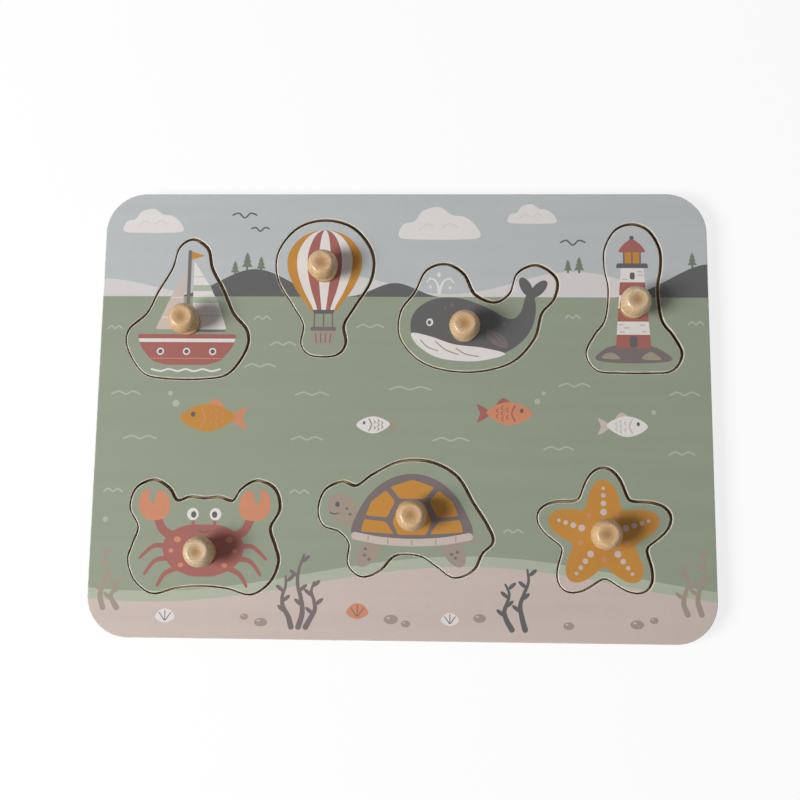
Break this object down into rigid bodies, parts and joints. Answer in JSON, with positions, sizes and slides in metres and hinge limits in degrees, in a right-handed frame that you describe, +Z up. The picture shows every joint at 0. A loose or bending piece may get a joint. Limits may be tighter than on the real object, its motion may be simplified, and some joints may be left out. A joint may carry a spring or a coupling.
{
  "type": "wooden peg puzzle",
  "caption": "Flat wooden peg puzzle: a printed board with shaped cut-outs on a backing board, and lift-out picture pieces that each carry a turned wooden knob.",
  "frame": {"origin": "centre of the board's underside, which lies on the table", "axes": "+X along the board's long side, to the right of a child who plays with it; +Y along its short side, away from the child and up the picture; +Z up, the way the pieces lift out"},
  "size_m": [0.3, 0.22, 0.023],
  "materials": {
    "backing_wood": "bare sanded plywood",
    "board_print": "matt print on sanded plywood",
    "sailboat_print": "matt print on sanded plywood",
    "balloon_print": "matt print on sanded plywood",
    "whale_print": "matt print on sanded plywood",
    "lighthouse_print": "matt print on sanded plywood",
    "crab_print": "matt print on sanded plywood",
    "turtle_print": "matt print on sanded plywood",
    "starfish_print": "matt print on sanded plywood",
    "knob_wood": "clear lacquer, semi-gloss",
    "screw_steel": "plain zinc-plated"
  },
  "bodies": {
    "board": {"backing_board": "backing_wood", "frame_board": "board_print"},
    "sailboat": {"sailboat_piece": "sailboat_print", "sailboat_knob": "knob_wood", "sailboat_screw": "screw_steel"},
    "balloon": {"balloon_piece": "balloon_print", "balloon_knob": "knob_wood", "balloon_screw": "screw_steel"},
    "whale": {"whale_piece": "whale_print", "whale_knob": "knob_wood", "whale_screw": "screw_steel"},
    "lighthouse": {"lighthouse_piece": "lighthouse_print", "lighthouse_knob": "knob_wood", "lighthouse_screw": "screw_steel"},
    "crab": {"crab_piece": "crab_print", "crab_knob": "knob_wood", "crab_screw": "screw_steel"},
    "turtle": {"turtle_piece": "turtle_print", "turtle_knob": "knob_wood", "turtle_screw": "screw_steel"},
    "starfish": {"starfish_piece": "starfish_print", "starfish_knob": "knob_wood", "starfish_screw": "screw_steel"}
  },
  "joints": [
    {"name": "sailboat_lift", "type": "slide", "parent": "board", "child": "sailboat", "axis": [0, 0, 1], "range_m": [0, 0.03]},
    {"name": "balloon_lift", "type": "slide", "parent": "board", "child": "balloon", "axis": [0, 0, 1], "range_m": [0, 0.03]},
    {"name": "whale_lift", "type": "slide", "parent": "board", "child": "whale", "axis": [0, 0, 1], "range_m": [0, 0.03]},
    {"name": "lighthouse_lift", "type": "slide", "parent": "board", "child": "lighthouse", "axis": [0, 0, 1], "range_m": [0, 0.03]},
    {"name": "crab_lift", "type": "slide", "parent": "board", "child": "crab", "axis": [0, 0, 1], "range_m": [0, 0.03]},
    {"name": "turtle_lift", "type": "slide", "parent": "board", "child": "turtle", "axis": [0, 0, 1], "range_m": [0, 0.03]},
    {"name": "starfish_lift", "type": "slide", "parent": "board", "child": "starfish", "axis": [0, 0, 1], "range_m": [0, 0.03]}
  ]
}
